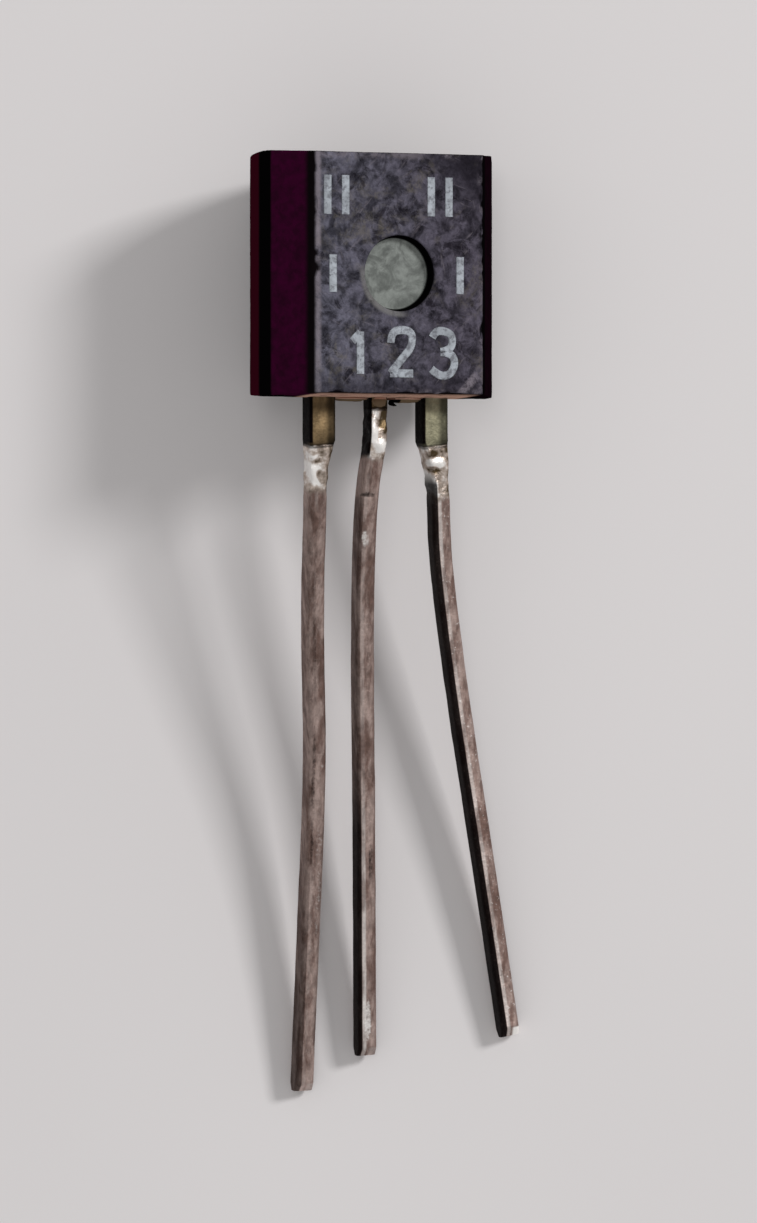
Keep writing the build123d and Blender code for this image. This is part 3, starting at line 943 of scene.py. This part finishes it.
def lead_tree():
    """Geometry nodes that sweep a lead's rounded section along its centre line."""
    lengths = [
        "Width", "Thickness", "Corner", "Shoulder Extra", "Shoulder Corner", "Shoulder End", "Taper End",
        "Tip", "Cut Length", "Side", "Tinned From", "Bright Length", "Ripple", "Lump", "Seed", "Spacing",
    ]
    tree, given = new_tree(
        "Tinned lead", Geometry=["Centre Line"], Float=lengths, Vector=["Across"], Material=["Material"]
    )

    def asked(name):
        return Wire(tree, given[name])

    def vector(operation, first, second):
        node = add(tree, "ShaderNodeVectorMath", operation=operation)
        feed(tree, node.inputs[0], first)
        second_socket = node.inputs["Scale"] if operation == "SCALE" else node.inputs[1]
        feed(tree, second_socket, second)
        return Wire(tree, node.outputs[0])

    def captured(geometry, **values):
        node = add(tree, "GeometryNodeCaptureAttribute")
        feed(tree, node.inputs[0], geometry)
        held = []
        for name, value in values.items():
            node.capture_items.new("VECTOR", name)
            feed(tree, node.inputs[name], value)
            held.append(Wire(tree, node.outputs[name]))
        return [node.outputs[0]] + held

    def profile(corner):
        size = {"Width": asked("Width"), "Height": asked("Thickness")}
        outline = made(tree, "GeometryNodeCurvePrimitiveQuadrilateral", size, mode="RECTANGLE")
        rounding = {"Curve": outline, "Radius": corner, "Count": CORNER_POINTS}
        rounded = made(tree, "GeometryNodeFilletCurve", rounding, mode="POLY")
        evened = {"Curve": rounded, "Count": SECTION_POINTS}
        return made(tree, "GeometryNodeResampleCurve", evened, mode="COUNT")

    # The centre line, with the lead's own two directions kept at each point
    spacing = {"Curve": given["Centre Line"], "Length": asked("Spacing")}
    line = made(tree, "GeometryNodeResampleCurve", spacing, mode="LENGTH")
    heading = made(tree, "GeometryNodeInputTangent")
    thick = vector("CROSS_PRODUCT", heading, asked("Across"))
    thick = vector("NORMALIZE", thick, None)
    across = vector("CROSS_PRODUCT", thick, heading)
    position = made(tree, "GeometryNodeInputPosition")
    rail, centre, thick, across = captured(line, centre=position, thick=thick, across=across)

    # The section, rounded beyond the taper and sharper at the shoulder
    sharp_place = add(
        tree,
        "GeometryNodeSampleIndex",
        {"Geometry": profile(asked("Shoulder Corner"))},
        data_type="FLOAT_VECTOR",
        domain="POINT",
    )
    feed(tree, sharp_place.inputs["Value"], position)
    feed(tree, sharp_place.inputs["Index"], made(tree, "GeometryNodeInputIndex"))
    outline, soft, sharp = captured(profile(asked("Corner")), soft=position, sharp=sharp_place.outputs[0])
    sweep = {"Curve": rail, "Profile Curve": outline, "Fill Caps": True}
    swept = made(tree, "GeometryNodeCurveToMesh", sweep)

    # Where each point is: how far below the body, how far from the tip, and where in the section
    below = split(tree, centre)[1] * -1
    shoulder = below.ramp(asked("Shoulder End"), asked("Taper End"), 1.0, 0.0)
    shoulder = shoulder.math("POWER", SHOULDER_EASE)
    soft_x, soft_y, _ = split(tree, soft)
    sharp_x, sharp_y, _ = split(tree, sharp)
    in_across = soft_x + (sharp_x - soft_x) * shoulder
    in_thick = soft_y + (sharp_y - soft_y) * shoulder
    outer_edge = asked("Side") * asked("Width") * 0.5
    stretch = shoulder * asked("Shoulder Extra") / asked("Width") + 1
    in_across = outer_edge + (in_across - outer_edge) * stretch

    # The cut tip: its top and foot come together as the cutters pinch it
    from_tip = asked("Tip") - below
    pinch = from_tip.ramp(0.0, asked("Cut Length"), CUT_THICKNESS, 1.0)
    in_thick = in_thick * pinch
    placed = vector("ADD", centre, vector("SCALE", across, in_across))
    placed = vector("ADD", placed, vector("SCALE", thick, in_thick))
    shaped = made(tree, "GeometryNodeSetPosition", {"Geometry": swept, "Position": placed})

    # Tin runs unevenly along the lead, and in lumps where the dipping stopped
    position_mm = vector("SCALE", position, 1 / MM)
    wave = speckle(tree, position_mm, 1.6, 2, 0.5, 0.0, asked("Seed")) - 0.62
    knobs = speckle(tree, position_mm, 3.6, 2, 0.5, 0.0, asked("Seed") + 5) - 0.56
    tinned_from = asked("Tinned From")
    dipped_end = below.rise(tinned_from, tinned_from + 0.1 * MM)
    dipped_end = dipped_end * below.rise(tinned_from + LUMPY_END, tinned_from + LUMPY_FADE)
    swell = wave * asked("Ripple") * dipped_end.rise(0.0, 1.0, 1.0, 0.6) + knobs * asked("Lump") * dipped_end
    swell = swell * from_tip.rise(0.0, 0.3 * MM)
    swell = swell * below.rise(tinned_from - 0.1 * MM, tinned_from)
    offset = vector("SCALE", made(tree, "GeometryNodeInputNormal"), swell * 2)
    geometry = made(tree, "GeometryNodeSetPosition", {"Geometry": shaped, "Offset": offset})

    # What the finish needs to know, in millimetres or as a share of the lead's half width
    half_width = asked("Width") * 0.5
    half_thickness = asked("Thickness") * 0.5
    rightward = sharp_x / half_width
    frontward = sharp_y / half_thickness
    noted = (below / MM, from_tip / MM, rightward, frontward, tinned_from / MM, asked("Bright Length") / MM)
    for name, value in zip(TREE_NOTES, noted):
        inputs = {"Geometry": geometry, "Name": name, "Value": value}
        geometry = made(tree, "GeometryNodeStoreNamedAttribute", inputs, data_type="FLOAT", domain="POINT")
    finish_tree(tree, geometry, given["Material"])
    return tree


# Each lead's route beyond its taper, read off the photograph: how far below the body, and drift to the right
COLLECTOR_ROUTE = [(2.02, 0.0), (4.52, -0.08), (7.52, -0.01), (10.72, -0.15), (14.36, -0.31)]
BASE_ROUTE = [(2.02, -0.21), (4.92, -0.28), (8.52, -0.235), (13.62, -0.22)]
EMITTER_ROUTE = [(2.02, 0.07), (3.32, 0.10), (6.22, 0.48), (9.52, 1.0), (13.22, 1.55)]
LEAD_FALL = 1.3
STRIP_HEIGHT = 0.2
TIP_HEIGHT = 0.2457
BASE_TIP_GAP = 0.06


def route_points(across, route, tip_gap):
    """A lead's centre line in metres from inside the body to its tip, with zero along at the body's foot."""
    sizes = bpy.context.scene.transistor_leads
    start = lying(across * MM, 0, STRIP_HEIGHT * MM) / MM
    shoulder = sizes.shoulder_length / MM
    length = route[-1][0]
    tip = TIP_HEIGHT + tip_gap
    points = [(start.x, 0.3, start.z), (start.x, -0.4, start.z), (start.x, -shoulder, start.z)]
    for distance, drift in route:
        left = (length - distance) / (length - shoulder)
        height = tip + (start.z - tip) * left**LEAD_FALL
        points.append((start.x + drift, -distance, height))
    return [Vector(point) * MM for point in points]


def arc_points(middle, radius, start, end, count=8):
    """Points on an arc about a middle between two angles in degrees."""
    points = []
    for step in range(count + 1):
        angle = math.radians(start + (end - start) * step / count)
        points.append((middle[0] + radius * math.cos(angle), middle[1] + radius * math.sin(angle)))
    return points


def strip_end(bm, outline, hole=None):
    """One stamped end of the strip inside the body, upright, from its outline in millimetres."""
    sizes = bpy.context.scene.transistor_leads
    low = STRIP_HEIGHT * MM - sizes.thickness / 2
    edges = []
    for loop in [outline] + ([hole] if hole else []):
        verts = [bm.verts.new((x * MM, y * MM, low)) for x, y in loop]
        edges += [bm.edges.new((a, b)) for a, b in zip(verts, verts[1:] + verts[:1])]
    made = bmesh.ops.triangle_fill(bm, use_beauty=True, edges=edges)
    faces = [item for item in made["geom"] if isinstance(item, bmesh.types.BMFace)]
    grown = bmesh.ops.extrude_face_region(bm, geom=faces)
    verts = [item for item in grown["geom"] if isinstance(item, bmesh.types.BMVert)]
    bmesh.ops.translate(bm, verts=verts, vec=(0, 0, sizes.thickness))


# Stamped ends inside the body, in millimetres
NECK_START = 0.28
NOTCH_PLACE = 0.7
NOTCH_RADIUS = 0.12
POST_ROUND = 0.08


def notch(x, start):
    """A half-round notch in the side of a neck, from an angle in degrees."""
    return arc_points((x, NOTCH_PLACE), NOTCH_RADIUS, start, start - 180)


def post_corner(x, y, start):
    """A rounded corner of a post or paddle about its middle, from an angle in degrees."""
    return arc_points((x, y), POST_ROUND, start, start + 90, 3)


def collector_end():
    left, right = -1.56, -0.98
    paddle_right, paddle_low, paddle_high = 0.28, 2.05, 4.17
    outline = [(left, NECK_START), (right, NECK_START)] + notch(right, 270) + [(right, 1.97)]
    outline += post_corner(paddle_right, paddle_low, -90) + post_corner(paddle_right, paddle_high, 0)
    outline += post_corner(left + POST_ROUND, paddle_high, 90) + notch(left, 90)
    lock_hole = arc_points((-0.6, 3.89), 0.2, 0, 345, 23)
    return outline, lock_hole


def base_end():
    half, post, low, high = 0.21, 0.37, 1.08, 1.54
    outline = [(-half, NECK_START), (half, NECK_START), (half, 1.0)]
    outline += post_corner(post, low, -90) + post_corner(post, high, 0)
    outline += post_corner(-post, high, 90) + post_corner(-post, low, 180) + [(-half, 1.0)]
    return outline, None


def emitter_end():
    left, right = 0.98, 1.56
    post_left, low, high = 0.79, 2.58, 3.04
    outline = [(left, NECK_START), (right, NECK_START)] + notch(right, 270)
    outline += post_corner(right - POST_ROUND, high, 0)
    outline += post_corner(post_left, high, 90) + post_corner(post_left, low, 180)
    return outline + [(left, 2.5)] + notch(left, 90), None


# Beads of tin on each lead: how far right, how far below the body, reach, length over width, lean, height,
# and tone from 0, painted shade in a hollow, to 1, a painted highlight on a lump
BEADS = {
    "collector": [
        (-1.42, 1.15, 0.34, 1.2, 0, 0.045, 0.64),
        (-1.26, 1.10, 0.16, 0.8, 0, 0.02, 0.36),
        (-1.40, 1.29, 0.10, 0.7, 0, -0.02, 0.15),
        (-1.46, 1.58, 0.18, 2.2, 42, 0.05, 1.15),
        (-1.30, 1.64, 0.13, 2.0, 42, -0.01, 0.3),
        (-1.50, 8.10, 0.07, 32.0, -1.5, 0.0, 0.1),
        (-1.38, 9.40, 0.10, 30.0, -1.5, 0.0, 0.75),
    ],
    "base": [
        (-0.23, 0.32, 0.15, 1.4, 0, 0.02, 0.72),
        (-0.05, 0.47, 0.12, 2.6, 0, -0.01, 0.02),
        (-0.26, 0.70, 0.13, 2.3, 0, 0.04, 1.0),
        (-0.08, 0.99, 0.18, 1.0, 0, 0.07, 1.0),
        (-0.38, 1.98, 0.24, 0.3, 0, -0.02, -0.1),
        (-0.42, 2.88, 0.12, 1.9, 0, 0.01, 0.95),
        (-0.31, 9.60, 0.07, 12.0, 0, 0.0, 0.1),
        (-0.37, 12.9, 0.10, 6.0, 0, 0.0, 0.95),
    ],
    "emitter": [
        (0.88, 1.02, 0.24, 0.6, 0, 0.03, 0.62),
        (0.97, 1.14, 0.15, 0.9, 0, 0.03, 0.12),
        (1.03, 1.32, 0.26, 0.5, 0, 0.07, 1.0),
        (0.98, 1.46, 0.18, 0.5, 0, -0.03, 0.08),
        (0.92, 1.74, 0.17, 2.1, 30, 0.05, 1.0),
    ],
}

# At some distances below the body: how strongly each lead's left side face is painted dark as shade
SIDE_SHADES = {
    "collector": [
        (0.93, 1.0), (0.98, 0.0), (1.85, 0.05), (2.3, 0.25), (9.0, 0.25), (12.0, 0.6), (14.4, 0.7),
    ],
    "base": [
        (1.15, 1.0), (1.25, 0.2), (1.95, 0.25), (2.05, 0.5), (7.5, 0.5), (9.0, 0.95), (14.0, 0.95),
    ],
    "emitter": [(0.93, 1.0), (0.98, 0.15), (1.5, 0.2), (1.75, 0.95), (14.0, 0.98)],
}

# And how bright the painted highlight, or below zero how dark, the line down its front is
RIDGES = {
    "collector": [(2.0, 0.2), (3.0, -0.3), (6.0, -0.5), (7.0, 0.0), (14.4, 0.1)],
    "base": [(2.0, 0.1), (8.0, 0.15), (9.5, 0.6), (11.5, 0.6), (12.3, 0.9), (13.6, 0.9)],
    "emitter": [(1.8, 0.5), (5.0, 0.3), (13.2, 0.45)],
}


def value_at(places, here):
    """A value read off a line of (place, value) points."""
    for (start, first), (end, second) in zip(places, places[1:]):
        if here < end:
            share = max(0.0, (here - start) / (end - start))
            return first + (second - first) * share
    return places[-1][1]


def tin_beads(mesh, name):
    """Raises beads of tin on a lead, and notes at each point what the finish can't work out by itself."""
    notes = {note: [] for note in BEAD_NOTES}
    normals = [vert.normal.copy() for vert in mesh.vertices]
    for vert, normal in zip(mesh.vertices, normals):
        below = -vert.co.y / MM
        tone = 0.5
        rise = 0.0
        for across, bead_below, reach, stretch, lean, height, bead_tone in BEADS[name]:
            gap = Vector((vert.co.x / MM - across, bead_below - below))
            gap.rotate(Matrix.Rotation(math.radians(-lean), 2))
            far = math.hypot(gap.x, gap.y / stretch) / reach
            if far < 1 and normal.z > -0.2:
                rise += height * (1 - far * far) ** 2 * max(0.0, normal.z) ** 2
                tone += (bead_tone - tone) * min(1.0, 2.2 * (1 - far))
        notes["bead_light"].append(tone)
        notes["side_shade"].append(value_at(SIDE_SHADES[name], below))
        notes["ridge"].append(value_at(RIDGES[name], below))
        notes["green"].append(1.0 if name == "emitter" else 0.2)
        notes["fresh"].append(1.0 if name == "emitter" else 0.15)
        vert.co += normal * rise * MM
    for note, values in notes.items():
        mesh.attributes.new(note, "FLOAT", "POINT")
        mesh.attributes[note].data.foreach_set("value", values)


class TRANSISTOR_OT_leads(bpy.types.Operator):
    """Sweeps the three tinned leads along their routes and adds their stamped ends inside the body"""

    bl_idname = "transistor.leads"
    bl_label = "Leads"

    def execute(self, context):
        sizes = context.scene.transistor_leads
        tree = lead_tree()
        material = surface("Tinned lead", lead_finish)
        foot = lying(0, 0, 0).y
        extra = sizes.shoulder_width - sizes.width
        outer = (sizes.pitch + extra / 2) / MM

        # Name, place, which edge runs straight on from the shoulder, route, gap under the tip, where the tin
        # starts, how far it is bright, and end inside the body
        leads = (
            ("collector", -outer, -1, COLLECTOR_ROUTE, 0.0, 0.95, 0.9, collector_end()),
            ("base", 0.0, 0, BASE_ROUTE, BASE_TIP_GAP, 0.22, 0.95, base_end()),
            ("emitter", outer, 1, EMITTER_ROUTE, 0.0, 0.95, 1.05, emitter_end()),
        )
        for number, lead in enumerate(leads):
            name, across, side, route, tip_gap, tinned_from, bright_length, end = lead
            values = {
                "Width": sizes.width,
                "Thickness": sizes.thickness,
                "Corner": sizes.corner,
                "Shoulder Extra": extra if side else 0.0,
                "Shoulder Corner": sizes.shoulder_corner if side else sizes.corner * 0.8,
                "Shoulder End": sizes.shoulder_length,
                "Taper End": sizes.shoulder_length + sizes.taper_length,
                "Tip": route[-1][0] * MM,
                "Cut Length": CUT_LENGTH,
                "Side": float(side),
                "Tinned From": tinned_from * MM,
                "Bright Length": bright_length * MM,
                "Ripple": sizes.ripple,
                "Lump": sizes.lump,
                "Seed": float(sizes.seed + number * 11),
                "Spacing": LEAD_SPACING,
                "Across": direction(1, 0, 0),
                "Material": material,
            }
            line = curve_object(name + "_line", [route_points(across, route, tip_gap)], 24)
            mesh = mesh_along(line, tree, values)
            tin_beads(mesh, name)
            bm = bmesh.new()
            bm.from_mesh(mesh)
            bpy.data.meshes.remove(mesh)
            for vert in bm.verts:
                vert.co.y += foot
            outside = set(bm.verts)
            strip_end(bm, *end)
            for vert in bm.verts:
                if vert not in outside:
                    vert.co = lying(*vert.co)
            finished = finished_mesh(bm, name + "_tinned")
            settled_piece(name + "_tinned", finished, material, "tinned_lead", name + "_lead")
        return {"FINISHED"}


# The print on the flat

STROKE_WIDTH = 0.175 * MM
STROKE_SPACING = 0.03 * MM
INK_HEIGHT = 0.012 * MM


def stroke_tree():
    """Geometry nodes that lay a thin rounded stroke of ink along each line."""
    tree, given = new_tree(
        "Ink stroke", Geometry=["Lines"], Float=["Stroke Width", "Ink Height"], Material=["Material"]
    )
    width = Wire(tree, given["Stroke Width"])
    spacing = {"Curve": given["Lines"], "Length": STROKE_SPACING}
    even = made(tree, "GeometryNodeResampleCurve", spacing, mode="LENGTH")
    upright = made(tree, "GeometryNodeSetCurveNormal", {"Curve": even}, mode="Z_UP")
    circle = made(tree, "GeometryNodeCurvePrimitiveCircle", {"Resolution": 10, "Radius": width * 0.5})
    stroke = {"Curve": upright, "Profile Curve": circle, "Fill Caps": True}
    swept = made(tree, "GeometryNodeCurveToMesh", stroke)
    x, y, z = split(tree, made(tree, "GeometryNodeInputPosition"))
    squash = Wire(tree, given["Ink Height"]) / width * 2
    flattened = made(tree, "ShaderNodeCombineXYZ", {"X": x, "Y": y, "Z": z * squash})
    flat = made(tree, "GeometryNodeSetPosition", {"Geometry": swept, "Position": flattened})
    finish_tree(tree, flat, given["Material"])
    return tree


# Pin numbers over their leads, and plain bars, in millimetres: each mark is its middle and its lines
ONE = [[(-0.15, 0.22), (0.03, 0.40)], [(0.03, 0.42), (0.03, -0.44)]]
TWO = [
    [(-0.23, 0.2), (-0.22, 0.42), (0.02, 0.48), (0.26, 0.42), (0.24, 0.12), (0.04, -0.1), (-0.24, -0.42)],
    [(-0.25, -0.42), (0.27, -0.42)],
]
THREE = [
    [(-0.23, 0.32), (-0.16, 0.46), (0.06, 0.46), (0.24, 0.36), (0.2, 0.06), (-0.04, 0.03)],
    [(-0.04, 0.03), (0.2, 0.02), (0.3, -0.2), (0.18, -0.44), (-0.08, -0.47), (-0.25, -0.32)],
]
BAR = [[(0, 0.38), (0, -0.38)]]
PAIR = [[(-0.2, 0.4), (-0.2, -0.4)], [(0.2, 0.4), (0.2, -0.4)]]
MARKS = [
    ((-0.92, 0.9), ONE),
    ((0.02, 0.9), TWO),
    ((0.95, 0.9), THREE),
    ((-1.42, 4.1), PAIR),
    ((0.9, 4.1), PAIR),
    ((-1.5, 2.5), BAR),
    ((1.35, 2.5), BAR),
]


class TRANSISTOR_OT_marks(bpy.types.Operator):
    """Prints plain pin numbers and bars on the flat"""

    bl_idname = "transistor.marks"
    bl_label = "Marks"

    def execute(self, context):
        body = context.scene.transistor_body
        lines = []
        for (across, along), strokes in MARKS:
            for stroke in strokes:
                lines.append([((across + x) * MM, (along + y) * MM, 0) for x, y in stroke])
        material = surface("Rubbed ink", ink_finish)
        values = {"Stroke Width": STROKE_WIDTH, "Ink Height": INK_HEIGHT, "Material": material}
        mesh = mesh_along(curve_object("marks", lines), stroke_tree(), values)
        for vert in mesh.vertices:
            vert.co = lying(vert.co.x, vert.co.y, body.flat_height - INK_HEIGHT / 2 + vert.co.z)
        settled_piece("flat_marks", mesh, material, "moulding")
        return {"FINISHED"}


# What the body holds

class TRANSISTOR_OT_chip(bpy.types.Operator):
    """Finishes the chip, its bonding film and its two bond wires"""

    bl_idname = "transistor.chip"
    bl_label = "Chip and bonds"

    def execute(self, context):
        polished = held_finish("silicon", (9.0, 2, 0.5), (0.4, 0.6, 0.85, 1.15), 0.6, 0.18)
        flaked = held_finish("film", (60.0, 3, 0.6), (0.35, 0.65, 0.7, 1.1), 0.5, 0.55)
        drawn = held_finish("gold", (40.0, 3, 0.5), (0.35, 0.65, 0.9, 1.05), 1.0, 0.25)
        silicon = surface("Polished silicon", polished)
        film = surface("Bond film", flaked)
        gold = surface("Gold wire", drawn)
        finishes = {
            "silicon_die": silicon,
            "die_attach": film,
            "base_bond_wire": gold,
            "emitter_bond_wire": gold,
        }
        for name, material in finishes.items():
            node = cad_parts[name]
            if not node.material_slots:
                node.data.materials.append(material)
            for held in node.material_slots:
                held.material = material
        return {"FINISHED"}


# The stage

FLOOR_HALF = 1.5


def lamp(name, place, size, power):
    """A lamp with a square or oblong face, turned to the middle of the floor."""
    light = bpy.data.lights.new(name, "AREA")
    light.shape = "RECTANGLE"
    light.size, light.size_y = size
    light.energy = power
    holder = bpy.data.objects.new(name, light)
    holder.location = place
    holder.rotation_euler = (-Vector(place)).to_track_quat("-Z", "Y").to_euler()
    bpy.context.scene.collection.objects.link(holder)


def floor_finish(tree, shader):
    """An even floor with hardly any tone in it."""
    coordinates = add(tree, "ShaderNodeTexCoord").outputs["Object"]
    tone = speckle(tree, coordinates, 40.0, 3).rise(0.3, 0.7, 0.985, 1.015)
    floor = bpy.context.scene.transistor_stage.floor
    feed(tree, shader.inputs["Base Color"], shaded(tree, floor, tone))
    shader.inputs["Roughness"].default_value = 0.9
    shader.inputs["Specular IOR Level"].default_value = 0.1


class TRANSISTOR_OT_stage(bpy.types.Operator):
    """Sets the pale floor, the soft lamps and the camera"""

    bl_idname = "transistor.stage"
    bl_label = "Stage"

    def execute(self, context):
        scene = context.scene
        settings = scene.transistor_stage
        scene.view_settings.view_transform = "Standard"

        mesh = bpy.data.meshes.new("floor")
        half = FLOOR_HALF
        corners = [(-half, -half, 0), (half, -half, 0), (half, half, 0), (-half, half, 0)]
        mesh.from_pydata(corners, [], [(0, 1, 2, 3)])
        floor = bpy.data.objects.new("floor", mesh)
        scene.collection.objects.link(floor)
        mesh.materials.append(surface("Pale floor", floor_finish))

        lamp("key", (0.27, 0.155, 0.25), (0.08, 0.08), settings.key_power)
        lamp("overhead", (-0.03, 0.05, 0.42), (0.10, 0.16), settings.fill_power)
        world = bpy.data.worlds.new("Studio")
        world.use_nodes = True
        background = world.node_tree.nodes["Background"]
        background.inputs["Color"].default_value = (1, 1, 1, 1)
        background.inputs["Strength"].default_value = settings.world
        scene.world = world

        camera = bpy.data.cameras.new("camera")
        camera.lens = settings.lens
        camera.sensor_fit = "VERTICAL"
        camera.sensor_height = 24
        camera.clip_start = 0.005
        camera.clip_end = 10
        holder = bpy.data.objects.new("camera", camera)
        holder.location = (settings.camera_across, settings.camera_along, settings.camera_height)
        scene.collection.objects.link(holder)
        scene.camera = holder
        return {"FINISHED"}


class TRANSISTOR_PT_panel(bpy.types.Panel):
    """Lists the pieces and their sizes"""

    bl_label = "Transistor"
    bl_idname = "TRANSISTOR_PT_panel"
    bl_space_type = "VIEW_3D"
    bl_region_type = "UI"
    bl_category = "Transistor"

    def draw(self, context):
        for operator in OPERATORS:
            self.layout.operator(operator.bl_idname)
        for name in GROUPS:
            box = self.layout.box()
            group = getattr(context.scene, name)
            for key in group.bl_rna.properties.keys():
                if key not in {"rna_type", "name"}:
                    box.prop(group, key)


GROUPS = {
    "transistor_body": BodySizes,
    "transistor_leads": LeadSizes,
    "transistor_finishes": Finishes,
    "transistor_stage": StageSettings,
}
OPERATORS = (
    TRANSISTOR_OT_body,
    TRANSISTOR_OT_leads,
    TRANSISTOR_OT_marks,
    TRANSISTOR_OT_chip,
    TRANSISTOR_OT_stage,
)


def register():
    for group in GROUPS.values():
        bpy.utils.register_class(group)
    for name, group in GROUPS.items():
        setattr(bpy.types.Scene, name, PointerProperty(type=group))
    for operator in OPERATORS:
        bpy.utils.register_class(operator)
    bpy.utils.register_class(TRANSISTOR_PT_panel)


def unregister():
    bpy.utils.unregister_class(TRANSISTOR_PT_panel)
    for operator in reversed(OPERATORS):
        bpy.utils.unregister_class(operator)
    for name, group in GROUPS.items():
        delattr(bpy.types.Scene, name)
        bpy.utils.unregister_class(group)


def main():
    register()
    bpy.ops.transistor.body()
    bpy.ops.transistor.leads()
    bpy.ops.transistor.marks()
    bpy.ops.transistor.chip()
    bpy.ops.transistor.stage()


if __name__ == "__main__":
    main()
